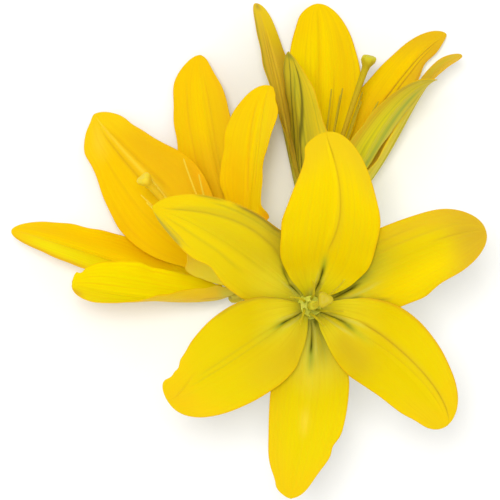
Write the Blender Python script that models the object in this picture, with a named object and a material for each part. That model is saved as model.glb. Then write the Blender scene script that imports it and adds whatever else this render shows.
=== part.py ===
"""Cut lily head: three open yellow blooms that share one short cut stem, lying on a table.

Frame: +X to the right of the plan view, +Y up the plan view, +Z up from the table top.
Driving dimensions are in millimetres from a point near the front bloom's receptacle. Every
object is moved by the same amount, so that the origin is the middle of the head's footprint.
"""

import math
from dataclasses import dataclass

import bmesh
import bpy
import numpy as np

MM = 0.001
FOOTPRINT_MIDDLE = (-4.2, 4.0, 0.0)

# How far from the bloom's axis, and how high over the receptacle's top, each whorl starts
INNER_START = (4.7, 1.2)
OUTER_START = (5.9, -1.2)

# Tepal blade
TEPAL_THICKNESS = 0.85
TEPAL_ROWS = 15
TIP_CROWDING = 1.2
TEPAL_COLUMNS = 7
FURROW_DEPTH = 0.9
FURROW_WIDTH = 0.16
WAVE_HEIGHT = 0.6
WAVES = 2.0

# Receptacle, filaments and pistil
RECEPTACLE_RADIUS = 4.9
RECEPTACLE_HEIGHT = 3.0
FLANGE_RADIUS = 6.5
FLANGE_TOP = 1.95
FILAMENT_ROOT = 3.0
FILAMENT_RADIUS = 0.75
FILAMENT_TIP_RADIUS = 0.45
FILAMENT_RINGS = 6
OVARY_LENGTH = 20.0
OVARY_RADIUS = 1.9
STYLE_RADIUS = 1.05
STIGMA_RADIUS = 2.9
STIGMA_LOBES = 3
PISTIL_GAP = 0.3

# Stem and pedicels
STEM_JOINT = (25.0, -38.0, 9.0)
STEM_CUT_END = (26.0, -76.0, 3.83)
STEM_RADIUS = 4.0
PEDICEL_RADIUS = 2.2
PEDICEL_GAP = 0.6

PETAL_YELLOW = (0.90, 0.72, 0.02)
PETAL_WARM = (0.95, 0.62, 0.02)
FILAMENT_YELLOW = (0.85, 0.72, 0.12)
PISTIL_GREEN = (0.52, 0.58, 0.08)
STEM_GREEN = (0.20, 0.33, 0.08)


@dataclass
class Tepal:
    """One tepal: its midrib is a cubic curve from the receptacle over a knee to its tip."""

    name: str
    whorl: str
    azimuth: float
    lean: float
    reach: float
    knee: tuple
    tip: tuple
    half_width: float
    widest: float = 0.55
    shoulder: float = 2.2
    point: float = 0.55
    root_share: float = 0.2
    cup: tuple = (50, 25, 5)
    roll: tuple = (0, 0)
    margins: tuple = ()


@dataclass
class Bloom:
    """One bloom: the top of its receptacle, its axis, and the azimuth of its first filament."""

    name: str
    base: tuple
    axis: tuple
    zero: tuple
    colour: tuple
    pistil_length: float
    pistil_sweep: tuple
    filament_length: float
    filament_azimuth: float
    filament_swerve: float
    filament_spreads: tuple
    tepals: tuple

    def frame(self):
        axis = unit(self.axis)
        zero = np.array(self.zero, float)
        first = unit(zero - axis * (zero @ axis))
        return axis, first, np.cross(axis, first)


FRONT = Bloom(
    name="front_bloom",
    base=(25.0, -23.0, 64.0),
    axis=(0.05, 0.03, 1.0),
    zero=(1, 0, 0),
    colour=PETAL_YELLOW,
    pistil_length=70.0,
    pistil_sweep=(0.5, 1.8, 0.0),
    filament_length=50.0,
    filament_azimuth=25.0,
    filament_swerve=20.0,
    filament_spreads=(13, 8, 10, 9, 7, 8),
    tepals=(
        Tepal("inner_tepal_top", "inner", 82, 15, 30, (37.5, 18, 119), (31.5, 46.5, 111),
              19.5, widest=0.47, shoulder=1.8, point=0.5,
              margins=((-1, 0.86, 1.8, 0.1), (-1, 0.62, -1.3, 0.08), (1, 0.59, -1.1, 0.07))),
        Tepal("outer_tepal_left", "outer", 142, 18, 30, (-13, 11, 118), (-38.5, 17, 110),
              16.5, widest=0.45, point=0.7, margins=((1, 0.65, 2.4, 0.07), (-1, 0.5, 0.7, 0.07))),
        Tepal("inner_tepal_lower_left", "inner", 211, 15, 30, (-9, -45.5, 117), (-33, -59, 108),
              19, point=0.45, margins=((-1, 0.78, 2.0, 0.1), (-1, 0.9, 4.6, 0.05))),
        Tepal("outer_tepal_bottom", "outer", 270, 18, 30, (23.5, -70, 113), (16, -98.5, 105),
              16, widest=0.5, point=0.6, margins=((1, 0.74, 1.4, 0.035), (1, 0.87, 2.2, 0.1))),
        Tepal("inner_tepal_lower_right", "inner", 331, 15, 30, (63, -41.5, 115), (78, -69.5, 107),
              18, point=0.5, roll=(-8, -15),
              margins=((1, 0.8, 1.4, 0.15), (-1, 0.72, 1.6, 0.15), (-1, 0.89, 1.0, 0.05))),
        Tepal("outer_tepal_right", "outer", 29, 18, 30, (66, 0, 114), (93.5, 7.5, 106),
              16.5, widest=0.5, point=0.5,
              margins=((1, 0.86, -1.4, 0.12), (-1, 0.72, 1.2, 0.1), (-1, 0.64, -1.1, 0.06))),
    ),
)

LEFT = Bloom(
    name="left_bloom",
    base=(-5.0, -16.2, 17.0),
    axis=(-0.54, 0.68, 0.5),
    zero=(0, 0, 1),
    colour=PETAL_WARM,
    pistil_length=70.0,
    pistil_sweep=(-2.0, -1.1, 0.0),
    filament_length=58.0,
    filament_azimuth=0.0,
    filament_swerve=0.0,
    filament_spreads=(6, 15, 14, 9, 5, 5),
    tepals=(
        Tepal("inner_tepal_right", "inner", 65, 30, 24, (0.5, 53, 47), (8.2, 69.2, 38),
              18, roll=(32, 36),
              margins=((1, 0.78, -2.6, 0.13), (-1, 0.63, 5.6, 0.1), (-1, 0.78, 3.0, 0.08),
                       (-1, 0.93, 4.0, 0.04), (-1, 0.43, -6.0, 0.06))),
        Tepal("outer_tepal_upper", "outer", 122, 22, 22, (-25, 62, 12), (-21.6, 84.3, 5),
              15.5, roll=(16, 18),
              margins=((-1, 0.92, 1.8, 0.08), (-1, 0.15, 1.8, 0.1), (1, 0.9, -2.0, 0.07),
                       (1, 0.64, 0.9, 0.08))),
        Tepal("inner_tepal_back", "inner", 180, 22, 22, (-57, 41.5, 6.5), (-67.5, 59, 0.45),
              22, widest=0.5, shoulder=1.4, point=0.55, cup=(55, 34, 10),
              margins=((-1, 0.75, 2.7, 0.12), (1, 0.76, 1.1, 0.08), (1, 0.88, -1.2, 0.06),
                       (1, 0.5, -0.8, 0.1), (1, 0.3, -3.2, 0.16))),
        Tepal("outer_tepal_far_left", "outer", 242, 44, 22, (-78.5, 4.6, 24), (-102, 8.7, 17),
              13.2, margins=((-1, 0.67, 1.5, 0.06), (1, 0.64, -2.4, 0.08))),
        Tepal("inner_tepal_lower_left", "inner", 300, 64, 13, (-57, -18.1, 49), (-74, -14.5, 52),
              17, shoulder=2.8, point=0.5, root_share=0.4, cup=(85, 80, 10), roll=(-26, -46),
              margins=((1, 0.2, -2.0, 0.1), (1, 0.74, 1.2, 0.06), (-1, 0.2, -2.8, 0.12))),
        Tepal("outer_tepal_near", "outer", 2, 25, 25, (-16, 0, 70), (-21, 8, 88), 11.5,
              margins=((-1, 0.16, 2.2, 0.1), (-1, 0.6, -2.0, 0.12))),
    ),
)

TOP = Bloom(
    name="top_bloom",
    base=(29.2, 12.0, 14.0),
    axis=(0.228, 0.933, 0.276),
    zero=(0, 0, 1),
    colour=PETAL_YELLOW,
    pistil_length=74.0,
    pistil_sweep=(4.5, 0.5, 0.0),
    filament_length=60.0,
    filament_azimuth=30.0,
    filament_swerve=0.0,
    filament_spreads=(7, 9, 7, 4, 5, 5),
    tepals=(
        Tepal("inner_tepal_near_left", "inner", 320.5, 25, 25, (21, 66, 44), (16, 82.5, 51),
              16, point=0.75, roll=(-14, -14), margins=((1, 0.62, 1.6, 0.1),)),
        Tepal("outer_tepal_near_right", "outer", 34, 21, 28, (56.5, 68, 61), (77, 70, 63),
              13.2, root_share=0.18, roll=(10, 12),
              margins=((-1, 0.58, 4.6, 0.15), (-1, 0.78, 3.2, 0.12), (1, 0.22, 1.6, 0.12))),
        Tepal("inner_tepal_right", "inner", 93.5, 36, 40, (67, 75, 26), (90, 82.5, 27.5),
              13, widest=0.42, point=0.5, roll=(-8, 5),
              margins=((-1, 0.5, 2.2, 0.18), (1, 0.5, -2.2, 0.22), (1, 0.89, -1.6, 0.09),
                       (-1, 0.96, -1.0, 0.04))),
        Tepal("outer_tepal_back_right", "outer", 152, 20, 25, (66, 88, 4.95), (85, 93.5, 2.95),
              10.5, margins=((1, 0.5, -2.0, 0.15), (-1, 0.53, 2.4, 0.18), (-1, 0.83, 2.2, 0.06))),
        Tepal("inner_tepal_back_left", "inner", 208, 15, 25, (33, 86, 9), (29.3, 106.5, 5),
              17, widest=0.6, roll=(-6, -6), margins=((1, 0.95, -0.9, 0.05),)),
        Tepal("outer_tepal_far_left", "outer", 262, 25, 25, (9, 87.5, 22), (3, 105.5, 18),
              13, shoulder=3.0, point=0.45, roll=(-10, -10)),
    ),
)

BLOOMS = (FRONT, LEFT, TOP)


def unit(vector):
    vector = np.asarray(vector, float)
    return vector / np.linalg.norm(vector)


def blend(three, s):
    """A quadratic curve through a value at the root, a pull at the middle and a value at the tip."""
    return (1 - s) ** 2 * three[0] + 2 * s * (1 - s) * three[1] + s**2 * three[2]


def width_share(tepal, s):
    """Half width at s along the blade, as a share of the widest half width."""
    rise = np.sin(np.clip(s / tepal.widest, 0, 1) * math.pi / 2) ** 1.6
    body = tepal.root_share + (1 - tepal.root_share) * rise
    beyond = np.clip((s - tepal.widest) / (1 - tepal.widest), 0, 1)
    fall = (1 - beyond**tepal.shoulder) ** tepal.point
    return np.where(s <= tepal.widest, body, fall)


def soft_roll(roll, s):
    """The blade's twist: straight towards the value at mid-length, then softly to the tip's."""
    beyond = s - 0.5
    bend = 0.5 * (beyond + np.sqrt(beyond**2 + 0.08**2))
    return np.radians(2 * roll[0] * s + 2 * (roll[1] - 2 * roll[0]) * bend)


def midrib(bloom, tepal, rows):
    """Points along the midrib, with the blade's sideways and inward directions at each."""
    axis, first, second = bloom.frame()
    azimuth = math.radians(tepal.azimuth)
    outward = math.cos(azimuth) * first + math.sin(azimuth) * second
    round_axis = np.cross(axis, outward)
    radius, height = INNER_START if tepal.whorl == "inner" else OUTER_START
    lean = math.radians(tepal.lean)
    p0 = np.array(bloom.base) + radius * outward + height * axis
    p1 = p0 + tepal.reach * (math.cos(lean) * axis + math.sin(lean) * outward)
    p2, p3 = np.array(tepal.knee, float), np.array(tepal.tip, float)
    q = np.linspace(0, 1, 200)[:, None]
    fine = (1 - q) ** 3 * p0 + 3 * q * (1 - q) ** 2 * p1 + 3 * q**2 * (1 - q) * p2 + q**3 * p3
    along = (1 - q) ** 2 * (p1 - p0) + 2 * q * (1 - q) * (p2 - p1) + q**2 * (p3 - p2)
    along /= np.linalg.norm(along, axis=1)[:, None]
    steps = np.linalg.norm(np.diff(fine, axis=0), axis=1)
    run = np.concatenate([[0], np.cumsum(steps)])
    run /= run[-1]
    s = 1 - (1 - np.linspace(0, 1, rows)) ** TIP_CROWDING
    points = np.stack([np.interp(s, run, fine[:, k]) for k in range(3)], axis=1)
    along = np.stack([np.interp(s, run, along[:, k]) for k in range(3)], axis=1)
    sideways = round_axis - along * (along @ round_axis)[:, None]
    sideways /= np.linalg.norm(sideways, axis=1)[:, None]
    inward = np.cross(along, sideways)
    roll = soft_roll(tepal.roll, s)[:, None]
    sideways, inward = (
        sideways * np.cos(roll) + inward * np.sin(roll),
        inward * np.cos(roll) - sideways * np.sin(roll),
    )
    return s, points, sideways, inward


def blade_points(bloom, tepal):
    """The blade's middle surface as rows of points, from root to tip and edge to edge."""
    s, points, sideways, inward = midrib(bloom, tepal, TEPAL_ROWS)
    cup = np.radians(blend(tepal.cup, s))
    grid = np.zeros((TEPAL_ROWS, TEPAL_COLUMNS, 3))
    for column, v in enumerate(np.linspace(-1, 1, TEPAL_COLUMNS)):
        half = tepal.half_width * width_share(tepal, s)
        for side, place, depth, spread in tepal.margins:
            if side * v > 0:
                half = half - depth * np.exp(-(((s - place) / spread) ** 2)) * abs(v)
        across = half * np.sin(cup * v) / cup
        lift = half * (1 - np.cos(cup * v)) / cup
        turn = WAVES * s + (0.25 if v > 0 else 0.0)
        lift += WAVE_HEIGHT * abs(v) ** 3 * np.sin(2 * math.pi * turn) * np.sin(math.pi * s)
        lift -= FURROW_DEPTH * math.exp(-((v / FURROW_WIDTH) ** 2)) * np.sin(math.pi * s)
        grid[:, column] = points + sideways * across[:, None] + inward * lift[:, None]
    return grid


def material(name, colour, roughness):
    made = bpy.data.materials.new(name)
    made.use_nodes = True
    shader = made.node_tree.nodes["Principled BSDF"]
    shader.inputs["Base Color"].default_value = (*colour, 1.0)
    shader.inputs["Roughness"].default_value = roughness
    shader.inputs["Metallic"].default_value = 0.0
    return made


def add_object(name, mesh, surface):
    mesh.materials.append(surface)
    made = bpy.data.objects.new(name, mesh)
    made.location = [-MM * middle for middle in FOOTPRINT_MIDDLE]
    bpy.context.scene.collection.objects.link(made)
    return made


def mesh_from_bmesh(name, bm):
    mesh = bpy.data.meshes.new(name)
    bm.to_mesh(mesh)
    bm.free()
    return mesh


def tepal_sheet(name, grid):
    """A triangulated sheet over the grid, its last row drawn together into the tip."""
    bm = bmesh.new()
    rows = [[bm.verts.new(point * MM) for point in row] for row in grid[:-1]]
    tip = bm.verts.new(grid[-1, TEPAL_COLUMNS // 2] * MM)
    for low, high in zip(rows, rows[1:]):
        for k in range(TEPAL_COLUMNS - 1):
            if k < TEPAL_COLUMNS // 2:
                bm.faces.new((low[k], low[k + 1], high[k]))
                bm.faces.new((low[k + 1], high[k + 1], high[k]))
            else:
                bm.faces.new((low[k], low[k + 1], high[k + 1]))
                bm.faces.new((low[k], high[k + 1], high[k]))
    for k in range(TEPAL_COLUMNS - 1):
        bm.faces.new((rows[-1][k], rows[-1][k + 1], tip))
    return mesh_from_bmesh(name, bm)


def add_tepal(bloom, tepal, surface):
    name = f"{bloom.name}_{tepal.name}"
    blade = add_object(name, tepal_sheet(name, blade_points(bloom, tepal)), surface)
    thicken = blade.modifiers.new("Thickness", "SOLIDIFY")
    thicken.thickness = TEPAL_THICKNESS * MM
    thicken.offset = 0.0
    return blade


def ring_frame(direction):
    """Two unit vectors square to a direction."""
    helper = np.array((0.0, 0.0, 1.0)) if abs(direction[2]) < 0.9 else np.array((1.0, 0.0, 0.0))
    across = unit(np.cross(direction, helper))
    return across, np.cross(direction, across)


def tube(bm, path, radii, sides):
    """A closed round bar along a path, with a flat cap at each end."""
    path = [np.asarray(point, float) for point in path]
    rings = []
    across, over = ring_frame(unit(path[1] - path[0]))
    for k, (point, radius) in enumerate(zip(path, radii)):
        direction = unit(path[min(k + 1, len(path) - 1)] - path[max(k - 1, 0)])
        across = unit(across - direction * (across @ direction))
        over = np.cross(direction, across)
        ring = []
        for n in range(sides):
            angle = 2 * math.pi * n / sides
            place = point + radius * (math.cos(angle) * across + math.sin(angle) * over)
            ring.append(bm.verts.new(place * MM))
        rings.append(ring)
    for low, high in zip(rings, rings[1:]):
        for n in range(sides):
            after = (n + 1) % sides
            bm.faces.new((low[n], low[after], high[after], high[n]))
    bm.faces.new(rings[0][::-1])
    bm.faces.new(rings[-1])


def tube_object(name, path, radii, sides, surface):
    bm = bmesh.new()
    tube(bm, path, radii, sides)
    return add_object(name, mesh_from_bmesh(name, bm), surface)


def fuse(body, others):
    """Joins the other solids into the body with one Boolean union and removes them."""
    tools = bpy.data.collections.new("Tools")
    for other in others:
        tools.objects.link(other)
    union = body.modifiers.new("Union", "BOOLEAN")
    union.operation = "UNION"
    union.solver = "EXACT"
    union.operand_type = "COLLECTION"
    union.collection = tools
    bpy.context.view_layer.objects.active = body
    bpy.ops.object.modifier_apply(modifier=union.name)
    for other in others:
        bpy.data.objects.remove(other)
    bpy.data.collections.remove(tools)


def filament_path(bloom, number):
    """A filament that leaves the receptacle nearly upright and spreads towards its tip."""
    axis, first, second = bloom.frame()
    base = np.array(bloom.base)
    path = []
    for s in np.linspace(0, 1, FILAMENT_RINGS):
        azimuth = math.radians(bloom.filament_azimuth + 60 * number + bloom.filament_swerve * s)
        outward = math.cos(azimuth) * first + math.sin(azimuth) * second
        lean = math.radians(bloom.filament_spreads[number]) * (0.35 + 0.65 * s)
        height = -1.5 + s * bloom.filament_length * math.cos(lean)
        radius = FILAMENT_ROOT + s * bloom.filament_length * math.sin(lean)
        path.append(base + axis * height + outward * radius)
    return path


def add_stamens(bloom, surface):
    axis, _, _ = bloom.frame()
    base = np.array(bloom.base)
    name = f"{bloom.name}_stamens"
    floor = base - axis * RECEPTACLE_HEIGHT
    under = base - axis * FLANGE_TOP
    disc = tube_object(
        name,
        (floor, floor + axis * 0.5, under, under + axis * 0.05, base - axis * 0.6, base),
        (FLANGE_RADIUS - 1.2, FLANGE_RADIUS, FLANGE_RADIUS, RECEPTACLE_RADIUS,
         RECEPTACLE_RADIUS, RECEPTACLE_RADIUS - 0.8),
        18,
        surface,
    )
    radii = np.linspace(FILAMENT_RADIUS, FILAMENT_TIP_RADIUS, FILAMENT_RINGS)
    filaments = []
    for n in range(6):
        filaments.append(tube_object(f"{name}_{n}", filament_path(bloom, n), radii, 6, surface))
    fuse(disc, filaments)


def add_pistil(bloom, surface):
    """Ovary, style and lobed stigma as one turned shape along a slightly swept line."""
    axis, first, second = bloom.frame()
    base = np.array(bloom.base) + axis * PISTIL_GAP
    sweep = np.array(bloom.pistil_sweep, float)
    length = bloom.pistil_length
    heights = (0, 1.0, 0.5 * OVARY_LENGTH, OVARY_LENGTH - 2, OVARY_LENGTH,
               0.5 * length, 0.8 * length, length - 5, length - 3, length - 0.6, length)
    radii = (0.8 * OVARY_RADIUS, OVARY_RADIUS, OVARY_RADIUS, 0.85 * OVARY_RADIUS, STYLE_RADIUS,
             STYLE_RADIUS, 1.1 * STYLE_RADIUS, 1.2 * STYLE_RADIUS, STIGMA_RADIUS,
             0.95 * STIGMA_RADIUS, 0.45 * STIGMA_RADIUS)
    sides = 4 * STIGMA_LOBES
    bm = bmesh.new()
    rings = []
    for height, radius in zip(heights, radii):
        centre = base + axis * height + sweep * (height / length) ** 2
        lobing = 0.16 if height > length - 4 else 0.0
        ring = []
        for n in range(sides):
            angle = 2 * math.pi * n / sides
            reach = radius * (1 + lobing * math.cos(STIGMA_LOBES * angle))
            ring.append(bm.verts.new((centre + reach * (
                math.cos(angle) * first + math.sin(angle) * second)) * MM))
        rings.append(ring)
    for low, high in zip(rings, rings[1:]):
        for n in range(sides):
            after = (n + 1) % sides
            bm.faces.new((low[n], low[after], high[after], high[n]))
    bm.faces.new(rings[0][::-1])
    bm.faces.new(rings[-1])
    name = f"{bloom.name}_pistil"
    add_object(name, mesh_from_bmesh(name, bm), surface)


def pedicel(bloom):
    """Path and radii of the stalk from the stem joint to just under a bloom's receptacle."""
    axis, _, _ = bloom.frame()
    joint = np.array(STEM_JOINT)
    end = np.array(bloom.base) - axis * (RECEPTACLE_HEIGHT + PEDICEL_GAP)
    pull = 0.45 * np.linalg.norm(end - joint)
    knee = end - axis * pull
    path = []
    radii = []
    for s in np.linspace(0, 1, 8):
        path.append((1 - s) ** 2 * joint + 2 * s * (1 - s) * knee + s**2 * end)
        radii.append(PEDICEL_RADIUS + (RECEPTACLE_RADIUS - 0.8 - PEDICEL_RADIUS) * s**8)
    return path, radii


def add_stem(surface):
    joint, cut = np.array(STEM_JOINT), np.array(STEM_CUT_END)
    start = joint + (joint - cut) * 0.06
    path = [start + (cut - start) * s for s in (0.0, 0.08, 0.35, 0.7, 0.97, 1.0)]
    radii = [share * STEM_RADIUS for share in (0.7, 1.0, 1.0, 1.0, 1.0, 0.9)]
    stem = tube_object("stem", path, radii, 16, surface)
    stalks = []
    for bloom in BLOOMS:
        stalk_path, stalk_radii = pedicel(bloom)
        stalks.append(tube_object(f"{bloom.name}_stalk", stalk_path, stalk_radii, 10, surface))
    fuse(stem, stalks)


def clear_scene():
    for old in list(bpy.data.objects):
        bpy.data.objects.remove(old)


def build():
    clear_scene()
    filament = material("filament_yellow", FILAMENT_YELLOW, 0.45)
    pistil = material("pistil_green", PISTIL_GREEN, 0.4)
    for bloom in BLOOMS:
        petal = material(f"{bloom.name}_petal", bloom.colour, 0.45)
        for tepal in bloom.tepals:
            add_tepal(bloom, tepal, petal)
        add_stamens(bloom, filament)
        add_pistil(bloom, pistil)
    add_stem(material("stem_green", STEM_GREEN, 0.55))


build()
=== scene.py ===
"""The looks of a cut lily head with three yellow blooms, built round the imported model.

Lengths are in millimetres in the design frame of the part's source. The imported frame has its
origin in the middle of the head's footprint, FOOTPRINT_MIDDLE in that design frame.
"""

import math
import random
from dataclasses import dataclass, field, replace

import bpy
import numpy as np
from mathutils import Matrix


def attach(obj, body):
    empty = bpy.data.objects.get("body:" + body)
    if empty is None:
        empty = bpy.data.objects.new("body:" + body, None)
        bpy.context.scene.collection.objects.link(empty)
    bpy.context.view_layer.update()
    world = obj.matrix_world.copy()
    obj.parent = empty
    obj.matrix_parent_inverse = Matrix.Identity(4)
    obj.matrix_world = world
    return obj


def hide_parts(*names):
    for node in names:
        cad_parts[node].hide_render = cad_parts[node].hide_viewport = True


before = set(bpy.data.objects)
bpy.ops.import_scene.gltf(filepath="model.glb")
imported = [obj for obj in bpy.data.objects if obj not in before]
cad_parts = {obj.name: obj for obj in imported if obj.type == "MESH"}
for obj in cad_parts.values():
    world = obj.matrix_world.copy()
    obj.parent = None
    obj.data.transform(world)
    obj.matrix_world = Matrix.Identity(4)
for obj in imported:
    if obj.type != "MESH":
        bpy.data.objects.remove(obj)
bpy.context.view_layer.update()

MM = 0.001
FOOTPRINT_MIDDLE = (-4.2, 4.0, 0.0)

# Nothing sinks lower than this over the surface: a resting tip flattens on it
RESTING_HEIGHT = 0.02

# How far from the bloom's axis, and how high over the receptacle's top, each whorl starts
INNER_START = (4.7, 1.2)
OUTER_START = (5.9, -1.2)

# Tepal blade
BLADE_ROWS = 100
BLADE_COLUMNS = 69
MIDRIB_SAMPLES = 800
TIP_CROWDING = 1.7
TIP_CUT = 0.997
COLUMN_CROWDING = 0.06
ROOT_SLOWNESS = 1.6
ROLL_SOFTNESS = 0.08
THICKNESS_MIDDLE = 0.85
THICKNESS_EDGE = 0.3
FURROW_DEPTH = 0.9
FURROW_WIDTH = 0.16
WAVE_HEIGHT = 0.6
WAVES = 2.0
KEEL_HEIGHT = 0.5
KEEL_WIDTH = 0.09
VEINS_PER_SIDE = 8
VEIN_HEIGHT = 0.05
RIPPLE_HEIGHT = 0.3
SWELL_HEIGHT = 0.35

# Receptacle, filaments and pistil
RECEPTACLE_RADIUS = 4.9
RECEPTACLE_HEIGHT = 3.0
FLANGE_RADIUS = 6.5
FLANGE_TOP = 1.95
FILAMENT_ROOT = 3.0
FILAMENT_RADIUS = 0.65
FILAMENT_TIP_RADIUS = 0.32
FILAMENT_ROWS = 26
FILAMENT_SIDES = 12
OVARY_LENGTH = 20.0
OVARY_RADIUS = 1.9
STYLE_RADIUS = 1.05
STIGMA_RADIUS = 2.9
STIGMA_LOBES = 3
PISTIL_SIDES = 48
PISTIL_GAP = 0.3

# Places along a filament and a pistil that have a colour of their own
FILAMENT_STOPS = (0.05, 0.35, 1.0)
PISTIL_STOPS = (0.12, 0.32, 0.6, 0.965, 0.99)

# Stem and pedicels
STEM_JOINT = (25.0, -38.0, 9.0)
STEM_CUT_END = (26.0, -76.0, 3.83)
STEM_RADIUS = 4.0
PEDICEL_RADIUS = 2.2
PEDICEL_SIDES = 24
PEDICEL_GAP = 0.6
STEM_STOPS = ((0.0, (92, 118, 48)), (0.9, (136, 150, 62)))
STEM_STREAK = (74, 98, 40)

# Roughness and gloss of each kind of surface, the petals' tint of gloss, and how deep light goes in
PETAL_SHEEN = (0.4, 0.06)
PETAL_GLINT = (1.0, 0.8, 0.1, 1.0)
GLOW_DEPTH = 0.8
FILAMENT_SHEEN = (0.35, 0.08)
PISTIL_SHEEN = (0.3, 0.1)
STEM_SHEEN = (0.4, 0.35)

# How fine the petals' streaks and clouds are, across and along the blade, and their cells
STREAK_SCALE = (11.0, 1.6)
CLOUD_SCALE = (1.3, 2.6)
CELL_SCALE = 900.0

# How much brighter than its own colour a face that looks up comes out under the lights
LIGHT_GAIN = 1.16

# Camera: straight over the design frame's origin, as the photograph was taken
CAMERA_HEIGHT = 1206.0
CAMERA_LENS = 200.0
CAMERA_SENSOR = 36.0

# Studio: the sky's strength, each light's place, size and power, and the floor's reach in metres
SKY_STRENGTH = 0.75
KEY_LIGHT = ((-60.0, 100.0, 1400.0), 300.0, 9.0)
FILL_LIGHT = ((700.0, -400.0, 1000.0), 900.0, 0.8)
FLOOR_REACH = 2.0


@dataclass(frozen=True)
class Look:
    """Colours of one tepal as they are seen (0 to 255), from its root to its tip; the margin colour is
    painted shade on the rim.
    """

    root: tuple
    throat: tuple
    middle: tuple
    tip: tuple
    streak: tuple
    margin: tuple
    outside_root: tuple
    outside: tuple
    outside_tip: tuple
    keel: tuple
    throat_place: float = 0.2
    middle_place: float = 0.5


@dataclass(frozen=True)
class Mark:
    """A soft stroke on one face, between two places given along and across the blade."""

    start: tuple
    end: tuple
    width: float
    colour: tuple
    strength: float = 0.8
    bow: float = 0.0
    fade: float = 0.06
    lift: float = 0.0
    outside: bool = False


# Root and throat are painted light: brighter than the tepals' own colour, against the shade deep in the
# bloom
FRONT_LOOK = Look(
    root=(255, 250, 100), throat=(255, 242, 46), middle=(243, 213, 4), tip=(240, 205, 16),
    streak=(228, 200, 26), margin=(236, 184, 18), keel=(140, 152, 50),
    outside_root=(150, 158, 52), outside=(206, 194, 46), outside_tip=(232, 204, 24),
)
LEFT_LOOK = Look(
    root=(230, 208, 50), throat=(253, 210, 10), middle=(255, 216, 2), tip=(255, 213, 5),
    streak=(244, 190, 20), margin=(252, 196, 12), keel=(236, 184, 26),
    outside_root=(200, 196, 66), outside=(253, 207, 14), outside_tip=(252, 200, 12),
)
TOP_LOOK = Look(
    root=(248, 232, 60), throat=(255, 228, 34), middle=(255, 223, 1), tip=(249, 211, 10),
    streak=(230, 192, 26), margin=(240, 180, 20), keel=(152, 152, 46),
    outside_root=(240, 240, 78), outside=(230, 216, 54), outside_tip=(224, 200, 38),
)

# Colours of the marks on the blades
# The furrows' own dark green, painted near black as shade deep in them
FURROW_GREEN_AND_SHADE = (54, 66, 14)
LEAF_GREEN = (116, 146, 54)
RIDGE_PALE = (230, 222, 92)
# Painted shade, over broad parts of a blade and in its folds
SHADE_GOLD = (224, 192, 34)
FOLD_SHADE_GOLD = (212, 176, 26)
# Painted highlight
HIGHLIGHT_YELLOW = (251, 222, 2)
# Painted shade along the blades' rims
RIM_SHADE_WARM = (214, 160, 36)
RIM_SHADE_BROWN = (136, 118, 44)
LEMON = (254, 226, 1)


def wash(start, end, width, colour, strength=0.8, fade=0.1):
    """A broad soft patch of colour."""
    return Mark(start, end, width, colour, strength, fade=fade)


def crease(start, end, width, lift, fade=0.03):
    """A dark green fold that runs out of the throat, painted darker still as shade deep in the fold."""
    return Mark(start, end, width, FURROW_GREEN_AND_SHADE, 1.0, fade=fade, lift=lift)


def shaded_fold(start, end, width, colour, strength, lift):
    """A fine line sunk into the blade, painted darker as shade in its fold."""
    return Mark(start, end, width, colour, strength, lift=lift)


def ridge(start, end, width, strength, lift):
    """A pale ridge beside a fold."""
    return Mark(start, end, width, RIDGE_PALE, strength, lift=lift)


@dataclass
class Tepal:
    """One tepal: its midrib is a cubic curve from the receptacle over a knee to its tip."""

    name: str
    azimuth: float
    lean: float
    reach: float
    knee: tuple
    tip: tuple
    half_width: float
    widest: float = 0.55
    shoulder: float = 2.2
    point: float = 0.55
    root_share: float = 0.2
    cup: tuple = (50, 25, 5)
    roll: tuple = (0, 0)
    margins: tuple = ()
    look: dict = field(default_factory=dict)
    marks: tuple = ()


@dataclass
class Bloom:
    """One bloom: the top of its receptacle, its axis, and the azimuth of its first filament."""

    name: str
    base: tuple
    axis: tuple
    zero: tuple
    look: Look
    petal_slot: str
    pistil_length: float
    pistil_sweep: tuple
    filament_length: float
    filament_azimuth: float
    filament_spreads: tuple
    filament_colours: tuple
    pistil_colours: tuple
    tepals: tuple
    filament_swerve: float = 0.0

    def frame(self):
        axis = unit(self.axis)
        zero = np.array(self.zero, float)
        first = unit(zero - axis * (zero @ axis))
        return axis, first, np.cross(axis, first)


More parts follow.
